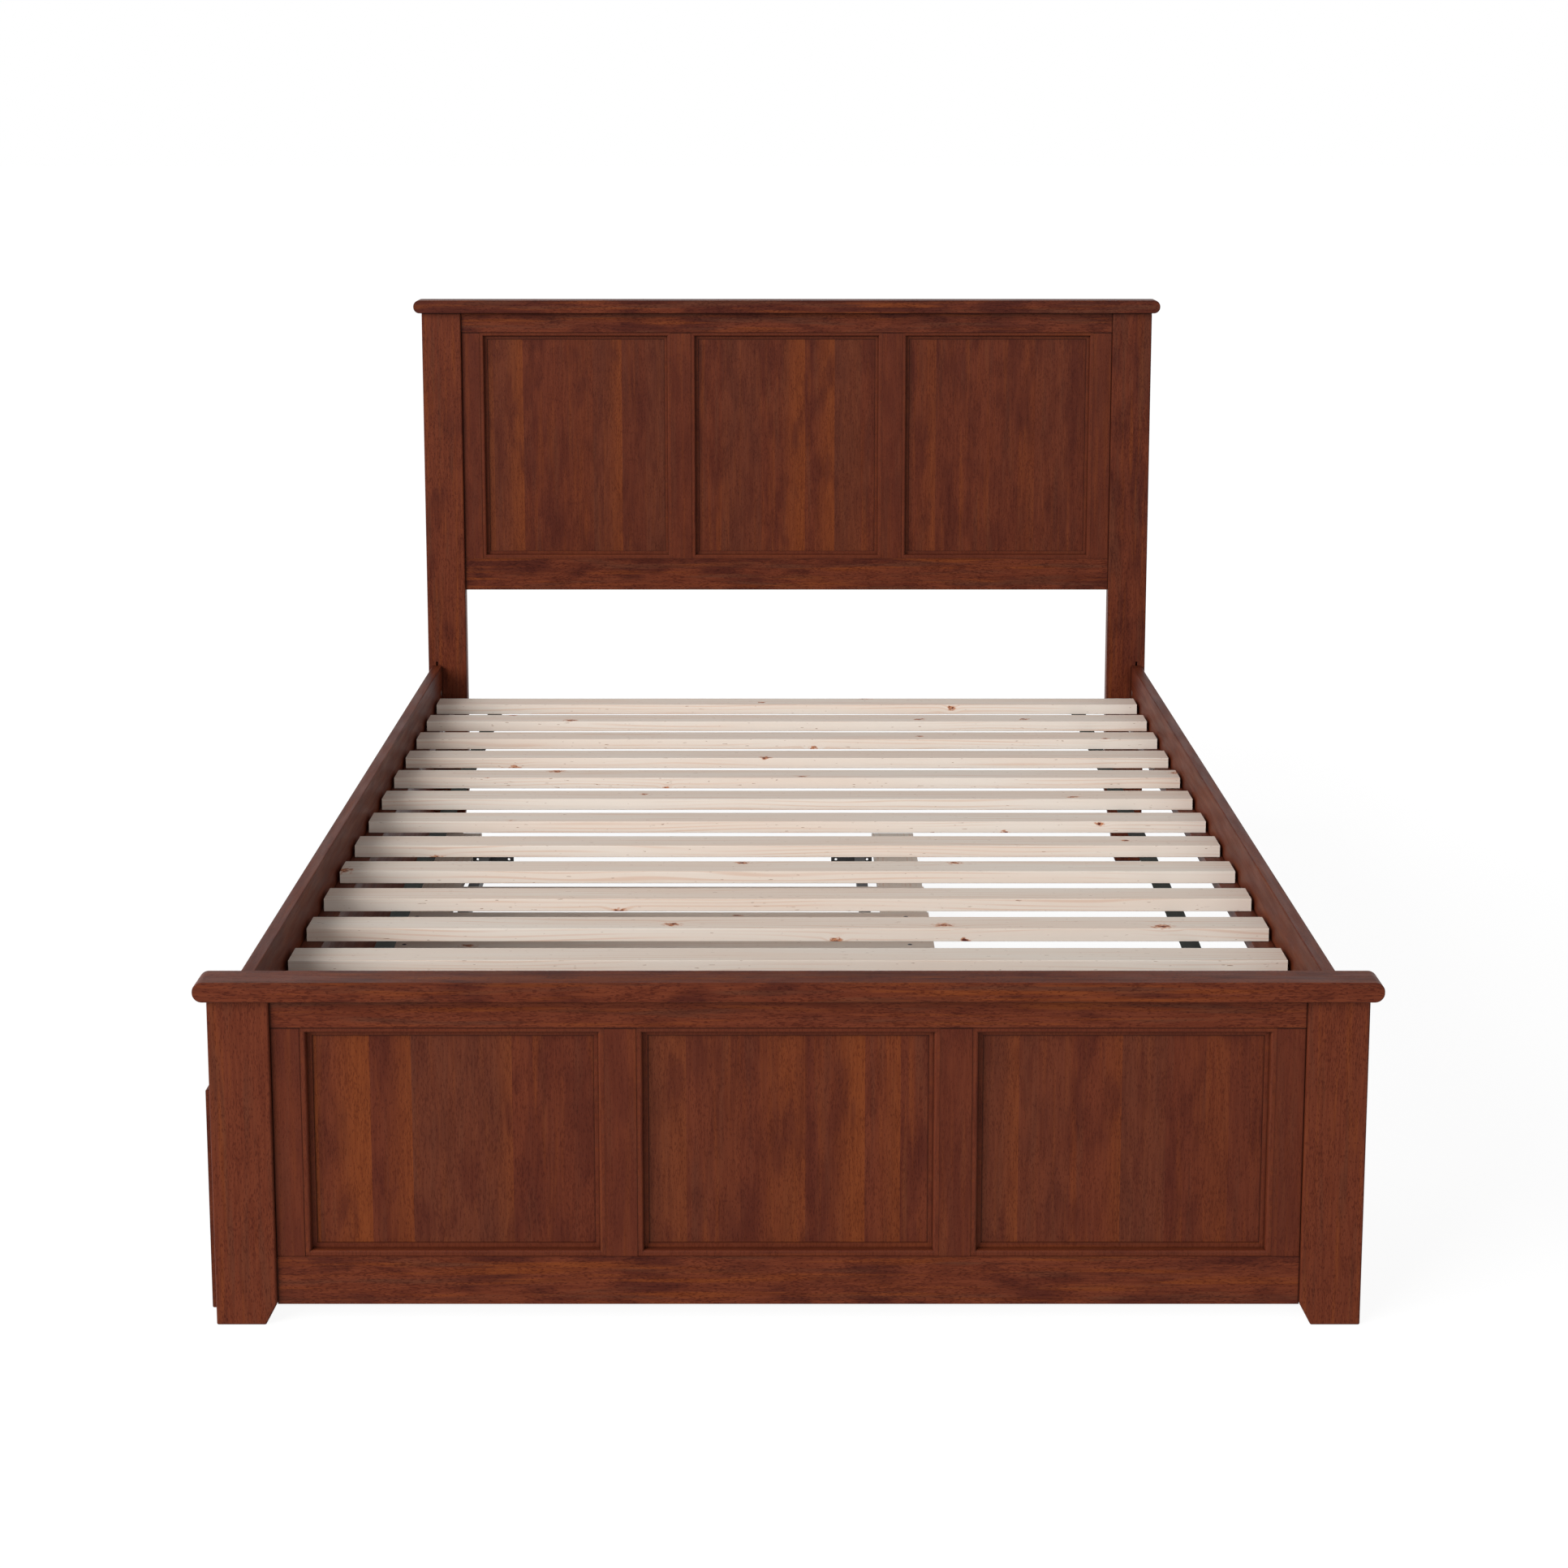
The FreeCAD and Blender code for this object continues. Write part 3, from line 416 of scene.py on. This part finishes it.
SLAT_CREAM = (0.830, 0.740, 0.655, 1.0)
SLAT_PINK = (0.820, 0.690, 0.590, 1.0)
RING_SHADE = (0.925, 0.815, 0.755, 1.0)
KNOT_RIM = (0.590, 0.250, 0.125, 1.0)
KNOT_HEART = (0.105, 0.022, 0.016, 1.0)
FLECK_SHADE = (0.520, 0.400, 0.330, 1.0)
SLAT_GLOSS = 0.2
RING_SPACING = 0.0075
KNOT_CELL = 0.120
KNOT_STRETCH = 1.8
KNOT_SHARE = 0.58
BEND_SPOT = (0.030, 0.42)
LINE_SPOT = (0.020, 0.30)
TINT_SPOT = (0.045, 0.60)
FLECK_SPOT = (0.0020, 0.014)
KNOT_EDGE_SPOT = (0.004, 0.007)
SPECK_SPOT = (0.0034, 0.0050)
FUZZ_SPOT = (0.0009, 0.025)
FUZZ_DEPTH = 0.0002


def slat_wood(name, grain, seed):
    """Bare softwood.
    Growth lines are sines of the distance across the board, bent by a long noise and pushed aside by knots.
    Knots are the middles of some long cells, with specks as hearts. Flecks are cut-off narrow noise."""
    finish, tree, shader = new_finish(name, Specular_IOR_Level=SLAT_GLOSS)
    place = own_place(tree, seed)
    part = add(tree, "SeparateXYZ", {"Vector": place}).outputs
    sides = [part[axis] for axis in AXES if axis != grain]
    across = work(tree, "ADD", *sides)
    along = work(tree, "DIVIDE", part[grain], KNOT_STRETCH)
    flat = add(tree, "CombineXYZ", {"X": along, "Y": across}).outputs["Vector"]
    cells = add(tree, "TexVoronoi", {"Vector": flat, "Scale": 1 / KNOT_CELL}, voronoi_dimensions="2D")
    chance = add(tree, "SeparateColor", {"Color": cells.outputs["Color"]}).outputs
    unknotted = between(tree, chance["Red"], KNOT_SHARE, KNOT_SHARE + 0.01)
    smallness = between(tree, chance["Green"], 0.0, 0.7, 0.9, 2.0)
    distance = work(tree, "ADD", work(tree, "MULTIPLY", cells.outputs["Distance"], smallness), unknotted)
    bend = work(tree, "MULTIPLY", grained(tree, place, grain, BEND_SPOT, 1.0), 26.0)
    push = between(tree, distance, 0.24, 0.0, 0.0, 5.0)
    turns = work(tree, "MULTIPLY", across, 2 * math.pi / RING_SPACING)
    wave = work(tree, "SINE", work(tree, "ADD", work(tree, "ADD", turns, bend), push))
    lines = work(tree, "MULTIPLY", between(tree, wave, 0.15, 1.0),
                 between(tree, grained(tree, place, grain, LINE_SPOT), 0.36, 0.66))
    tint = between(tree, grained(tree, place, grain, TINT_SPOT), 0.34, 0.66)
    colour = mix(tree, tint, SLAT_CREAM, SLAT_PINK)
    colour = mix(tree, lines, colour, RING_SHADE, "MULTIPLY")
    flecks = between(tree, grained(tree, place, grain, FLECK_SPOT, 1.0), 0.73, 0.77)
    colour = mix(tree, flecks, colour, FLECK_SHADE, "MULTIPLY")
    ragged = work(tree, "ADD", distance,
                  between(tree, grained(tree, place, grain, KNOT_EDGE_SPOT), 0.3, 0.7, -0.03, 0.03))
    specks = between(tree, grained(tree, place, grain, SPECK_SPOT), 0.42, 0.54)
    heart = work(tree, "MULTIPLY", between(tree, ragged, 0.058, 0.022), specks)
    colour = mix(tree, between(tree, ragged, 0.088, 0.030), colour, KNOT_RIM)
    colour = mix(tree, heart, colour, KNOT_HEART)
    fuzz = grained(tree, place, grain, FUZZ_SPOT)
    dents = add(tree, "Bump", {"Height": fuzz, "Strength": 0.25, "Distance": FUZZ_DEPTH})
    fill(tree, shader, {"Base Color": colour, "Roughness": between(tree, fuzz, 0.3, 0.7, 0.58, 0.72),
                        "Normal": dents.outputs["Normal"]})
    return finish


slats = [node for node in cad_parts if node.startswith("slat_") and node[5:].isdigit()]
for slat in sorted(slats):
    seed += 1
    dress(slat, slat_wood(f"softwood_{slat}", "X", seed))


# Slat straps: two strips of black woven webbing under the slats, stapled to each one so
# that they keep the slats apart. Between the slats they sag a little.

STRAP_WIDTH = 0.028
STRAP_THICKNESS = 0.0015
STRAP_SAG = 0.0025
STRAP_STATIONS = 454
STRAP_CORNER = 6
RIB_SPACING = 0.0020
PICK_SPACING = 0.0015
WEBBING_DARK = (0.010, 0.013, 0.0125, 1.0)
WEBBING_WORN = (0.022, 0.027, 0.026, 1.0)
WEBBING_GLOSS = 0.2
WEAR_SPOT = (0.010, 0.060)
THREAD_DEPTH = 0.0003


def webbing(name):
    """Plain weave: ribs across and picks along are sines, and a thread is high where their product is."""
    finish, tree, shader = new_finish(name, Specular_IOR_Level=WEBBING_GLOSS)
    place = own_place(tree, 0)
    part = add(tree, "SeparateXYZ", {"Vector": place}).outputs
    ribs = work(tree, "SINE", work(tree, "MULTIPLY", part["X"], 2 * math.pi / RIB_SPACING))
    picks = work(tree, "SINE", work(tree, "MULTIPLY", part["Y"], 2 * math.pi / PICK_SPACING))
    thread = between(tree, work(tree, "MULTIPLY", ribs, picks), -1.0, 1.0)
    wear = between(tree, grained(tree, place, "Y", WEAR_SPOT, 3.0), 0.35, 0.65)
    lift = work(tree, "MULTIPLY", thread, wear)
    dents = add(tree, "Bump", {"Height": thread, "Strength": 0.6, "Distance": THREAD_DEPTH})
    fill(tree, shader, {"Base Color": mix(tree, lift, WEBBING_DARK, WEBBING_WORN),
                        "Roughness": between(tree, thread, 0.0, 1.0, 0.85, 0.65),
                        "Normal": dents.outputs["Normal"]})
    return finish


def strap(left, right, start, end, top, holds):
    """A strip's rings: a rectangle with rounded edges, carried along Y.
    It hangs by a cosine's dip in each gap between the slats that hold it, and lies flat under them."""
    along = np.linspace(start, end, STRAP_STATIONS)
    gaps = np.column_stack([holds[:-1, 1], holds[1:, 0]])
    share = (along[:, None] - gaps[:, 0]) / (gaps[:, 1] - gaps[:, 0])
    dips = np.where((share > 0) & (share < 1), (1 - np.cos(2 * np.pi * share)) / 2, 0).sum(axis=1)
    half = STRAP_THICKNESS / 2
    turn = np.linspace(-np.pi / 2, np.pi / 2, STRAP_CORNER)
    across = np.concatenate([right - half + half * np.cos(turn), left + half - half * np.cos(turn)])
    up = np.concatenate([half * np.sin(turn), -half * np.sin(turn)])
    level = top - half - STRAP_SAG * dips
    rings = np.empty((STRAP_STATIONS, across.size, 3))
    rings[..., 0] = across[::-1]
    rings[..., 1] = along[:, None]
    rings[..., 2] = level[:, None] + up[::-1]
    return rings[None]


strap_low, strap_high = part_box("slat_straps")
slat_spans = np.array(sorted((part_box(slat)[0].y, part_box(slat)[1].y) for slat in slats))
woven = webbing("black_webbing")
for side, left in (("left", strap_low.x), ("right", strap_high.x - STRAP_WIDTH)):
    rings = strap(left, left + STRAP_WIDTH, strap_low.y, strap_high.y, strap_high.z, slat_spans)
    piece = ringed_piece(f"slat_strap_{side}", rings, woven, "bed_frame")
    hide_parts("slat_straps")


# Strap staples: a bent steel wire through the strap into the underside of each slat,
# with its crown across the strap.

STAPLE_CROWN = 0.0110
STAPLE_LEG = 0.0020
STAPLE_WIRE = 0.0006
STAPLE_STATIONS = 13
STAPLE_SIDES = 6
STAPLE_SQUARENESS = 0.35


def squared_off(wave):
    """A root of a cosine or sine, with its sign kept, which makes a half circle a rounded square."""
    return np.sign(wave) * np.abs(wave) ** STAPLE_SQUARENESS


def staples(places):
    """Rings of round wire along a path whose legs are upright and whose crown is level.
    The path is the lower half of a circle, squared off to a flat crown."""
    turn = np.linspace(np.pi, 2 * np.pi, STAPLE_STATIONS)
    path = np.column_stack([STAPLE_CROWN / 2 * squared_off(np.cos(turn)), np.zeros_like(turn),
                            STAPLE_LEG * (1 + squared_off(np.sin(turn)))])
    heading = np.gradient(path, axis=0)
    heading /= np.linalg.norm(heading, axis=1)[:, None]
    side = np.array([0.0, 1.0, 0.0])
    normal = np.cross(heading, side)
    across, up = circle(STAPLE_SIDES)
    rings = path[:, None] + STAPLE_WIRE * (across[:, None] * normal[:, None] + up[:, None] * side)
    return np.array(places)[:, None, None, :] + rings[None, :, ::-1]


staple_spots = [((low + high) / 2, middle) for low, high in slat_spans
                for middle in (strap_low.x + STRAP_WIDTH / 2, strap_high.x - STRAP_WIDTH / 2)]
crown_level = strap_low.z - STAPLE_WIRE
wires = staples([(x, y, crown_level) for y, x in staple_spots])
ringed_piece("strap_staples", wires, zinc, "bed_frame")


# Trundle front: a broad stained board that hides the trundle when it is in, with eased
# edges and the grain along its length. Angle brackets hold it to the trundle's deck.

seed += 1
trundle_front = stained_wood("stained_trundle_front", "Y", seed, SIDE_RAIL_DEPTH, SIDE_RAIL_FIGURE)
dress("trundle_front_panel", trundle_front)


# Trundle deck: two long boards on casters, two bearers below them, and twelve slats
# screwed across. All are the same bare softwood as the bed's slats.

for board, grain in (("trundle_front_board", "Y"), ("trundle_rear_board", "Y"),
                     ("trundle_bearers", "X"), ("trundle_slats", "X")):
    seed += 1
    dress(board, slat_wood(f"softwood_{board}", grain, seed))


# Trundle tubes and slat screws: square steel tubes with flanges, and countersunk
# screws. Both are black: the tubes powder-coated, the screws oxide-finished.

COAT_DARK = (0.020, 0.020, 0.021, 1.0)
COAT_LIGHT = (0.034, 0.034, 0.036, 1.0)
COAT_GLOSS = 0.4
POWDER_SPOT = (0.0016, 0.0016)
OXIDE_SPOT = (0.0008, 0.0008)
PEEL_DEPTH = 0.0001


def black_coat(name, spot):
    """Black finish: a fine orange-peel noise that dents the surface and varies the black."""
    finish, tree, shader = new_finish(name, Specular_IOR_Level=COAT_GLOSS)
    place = own_place(tree, 0)
    bumps = grained(tree, place, "Z", spot)
    dents = add(tree, "Bump", {"Height": bumps, "Strength": 0.3, "Distance": PEEL_DEPTH})
    fill(tree, shader, {"Base Color": mix(tree, between(tree, bumps, 0.3, 0.7), COAT_DARK, COAT_LIGHT),
                        "Roughness": between(tree, bumps, 0.3, 0.7, 0.42, 0.58),
                        "Normal": dents.outputs["Normal"]})
    return finish


dress("trundle_tubes", black_coat("black_powder_coat", POWDER_SPOT))
dress("trundle_slat_screws", black_coat("black_oxide", OXIDE_SPOT))


# Flange screws: pan heads in the lower holes of the tubes' flanges, driven into the
# bearers behind. They stand on the flanges' faces and look along the bed.

FLANGE_THICKNESS = 0.0025
FLANGE_WIDTH = 0.079
FLANGE_HOLE_SPACING = 0.0606
FLANGE_HOLE_INSET = 0.006

tube_low, tube_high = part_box("trundle_tubes")
flange_heads = []
for face, looks in ((tube_low.y + FLANGE_THICKNESS, 1), (tube_high.y - FLANGE_THICKNESS, -1)):
    spots = [(middle + offset, face, tube_low.z + FLANGE_HOLE_INSET)
             for middle in (tube_low.x + FLANGE_WIDTH / 2, tube_high.x - FLANGE_WIDTH / 2)
             for offset in (-FLANGE_HOLE_SPACING / 2, FLANGE_HOLE_SPACING / 2)]
    flange_heads.append(screw_heads(spots, (0, looks, 0)))
ringed_piece("flange_screws", np.concatenate(flange_heads), zinc, "trundle")


# Angle brackets and their screws: zinc-plated angles in the corner between the trundle
# front and the front board, with two screws in each leg.

ANGLE_COUNT = 4
ANGLE_WIDTH = 0.040
ANGLE_LEG = 0.034
ANGLE_THICKNESS = 0.0025
ANGLE_SCREW_SPACING = 0.022

dress("trundle_angles", zinc)
angle_low, angle_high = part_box("trundle_angles")
middles = np.linspace(angle_low.y + ANGLE_WIDTH / 2, angle_high.y - ANGLE_WIDTH / 2, ANGLE_COUNT)
along = (middles[:, None] + np.array([-0.5, 0.5]) * ANGLE_SCREW_SPACING).ravel()
out = (ANGLE_LEG + ANGLE_THICKNESS) / 2
wall_spots = np.column_stack([np.full(along.size, angle_low.x + ANGLE_THICKNESS), along,
                              np.full(along.size, angle_high.z - out)])
deck_spots = np.column_stack([np.full(along.size, angle_low.x + out), along,
                              np.full(along.size, angle_high.z - ANGLE_THICKNESS)])
angle_heads = [screw_heads(wall_spots, (1, 0, 0)), screw_heads(deck_spots, (0, 0, -1))]
ringed_piece("angle_screws", np.concatenate(angle_heads), zinc, "trundle")


# Casters: bent zinc-plated forks with riveted axles, under the ends of the long boards,
# and moulded black nylon wheels with scuffed treads.

NYLON_DARK = (0.016, 0.016, 0.017, 1.0)
NYLON_SCUFF = (0.060, 0.058, 0.055, 1.0)
NYLON_GLOSS = 0.45
MOULD_SPOT = (0.0007, 0.0007)
SCUFF_SPOT = (0.008, 0.004)
MOULD_DEPTH = 0.0001


def nylon(name, seed):
    """Moulded nylon: fine moulding grain, and pale scuffs where wide and narrow noise are both high."""
    finish, tree, shader = new_finish(name, Specular_IOR_Level=NYLON_GLOSS)
    place = own_place(tree, seed)
    grain = grained(tree, place, "Y", MOULD_SPOT)
    patches = between(tree, grained(tree, place, "Y", SCUFF_SPOT, 3.0), 0.52, 0.70)
    scuffs = work(tree, "MULTIPLY", patches, between(tree, grain, 0.4, 0.7))
    dents = add(tree, "Bump", {"Height": grain, "Strength": 0.25, "Distance": MOULD_DEPTH})
    fill(tree, shader, {"Base Color": mix(tree, scuffs, NYLON_DARK, NYLON_SCUFF),
                        "Roughness": between(tree, scuffs, 0.0, 1.0, 0.40, 0.70),
                        "Normal": dents.outputs["Normal"]})
    return finish


dress("caster_forks", zinc)
for wheel in sorted(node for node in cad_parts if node.startswith("caster_wheel")):
    seed += 1
    dress(wheel, nylon(f"nylon_{wheel}", seed))


# Studio: a wide pale floor, a pale surround that is dimmer overhead and lighter at the back
# right, and two broad lamps: a soft strong one at the front left and a weak one in front.
# The camera stands at the foot end.

FLOOR_REACH = 60.0
FLOOR_GREY = (0.50, 0.50, 0.50, 1.0)
SHADOW_GREY = (0.13, 0.13, 0.13, 1.0)
WHITE = (1.0, 1.0, 1.0, 1.0)
GLOW_NEAR = 0.92
GLOW_FAR = 1.0
FADE_START = 1.2
FADE_END = 3.5


def seen_rays(tree):
    """1 for rays that show the surround itself: to the camera, or by a mirror or glass."""
    path = add(tree, "LightPath", {}).outputs
    seen = work(tree, "MAXIMUM", path["Is Camera Ray"], path["Is Glossy Ray"])
    return work(tree, "MAXIMUM", seen, path["Is Transmission Ray"])


floor_finish = bpy.data.materials.new("pale_floor")
floor_finish.use_nodes = True
tree = floor_finish.node_tree
tree.nodes.clear()
pale = add(tree, "BsdfDiffuse", {"Color": FLOOR_GREY}).outputs["BSDF"]
shaded = add(tree, "BsdfDiffuse", {"Color": SHADOW_GREY}).outputs["BSDF"]
reach = add(tree, "VectorMath", {0: add(tree, "TexCoord", {}).outputs["Object"]}, operation="LENGTH")
strength = between(tree, reach.outputs["Value"], FADE_START, FADE_END, GLOW_NEAR, GLOW_FAR)
glow = add(tree, "Emission", {"Color": WHITE, "Strength": strength}).outputs["Emission"]
shown = add(tree, "AddShader", {0: shaded, 1: glow}).outputs["Shader"]
surface = add(tree, "MixShader", {0: seen_rays(tree), 1: pale, 2: shown}).outputs["Shader"]
add(tree, "OutputMaterial", {"Surface": surface})

floor_mesh = bpy.data.meshes.new("studio_floor")
corners = [(-FLOOR_REACH, -FLOOR_REACH, 0), (FLOOR_REACH, -FLOOR_REACH, 0),
           (FLOOR_REACH, FLOOR_REACH, 0), (-FLOOR_REACH, FLOOR_REACH, 0)]
floor_mesh.from_pydata(corners, [], [(0, 1, 2, 3)])
floor_mesh.materials.append(floor_finish)
floor = bpy.data.objects.new("studio_floor", floor_mesh)
bpy.context.scene.collection.objects.link(floor)

SURROUND_LEVEL = (0.44, 0.44, 0.44, 1.0)
SURROUND_BEHIND = (0.92, 0.92, 0.92, 1.0)
SURROUND_OVERHEAD = (0.17, 0.17, 0.17, 1.0)
BEHIND = (0.55, 0.83, 0.0)

world = bpy.data.worlds.new("studio")
world.use_nodes = True
tree = world.node_tree
tree.nodes.clear()
heading = add(tree, "TexCoord", {}).outputs["Generated"]
backward = add(tree, "VectorMath", {0: heading, 1: BEHIND}, operation="DOT_PRODUCT").outputs["Value"]
upward = add(tree, "SeparateXYZ", {"Vector": heading}).outputs["Z"]
level = mix(tree, between(tree, backward, 0.0, 0.8), SURROUND_LEVEL, SURROUND_BEHIND)
level = mix(tree, between(tree, upward, 0.1, 0.8), level, SURROUND_OVERHEAD)
light = add(tree, "Background", {"Color": level})
white = add(tree, "Background", {"Color": WHITE})
surround = add(tree, "MixShader", {0: seen_rays(tree), 1: light.outputs[0], 2: white.outputs[0]})
add(tree, "OutputWorld", {"Surface": surround.outputs["Shader"]})
bpy.context.scene.world = world


def lamp(name, place, target, size, power):
    """A square area lamp that looks at a point."""
    data = bpy.data.lights.new(name, "AREA")
    data.size = size
    data.energy = power
    lit = bpy.data.objects.new(name, data)
    lit.location = place
    lit.rotation_euler = (Vector(target) - Vector(place)).to_track_quat("-Z", "Y").to_euler()
    bpy.context.scene.collection.objects.link(lit)


LIT_POINT = (0.0, -0.2, 0.5)

lamp("key_lamp", (-9.5, -8.7, 6.2), LIT_POINT, 9.1, 2200.0)
lamp("fill_lamp", (2.6, -9.6, 2.9), LIT_POINT, 4.0, 165.0)

CAMERA_PLACE = (-0.00535, -3.9508, 1.5082)
CAMERA_PITCH = 8.219

camera_data = bpy.data.cameras.new("photo_camera")
camera_data.sensor_width = 36.0
camera_data.lens = 57.791
camera_data.shift_y = -0.20
camera = bpy.data.objects.new("photo_camera", camera_data)
camera.location = CAMERA_PLACE
camera.rotation_euler = (math.radians(90.0 - CAMERA_PITCH), 0.0, 0.0)
bpy.context.scene.collection.objects.link(camera)
bpy.context.scene.camera = camera
bpy.context.scene.view_settings.view_transform = "Standard"
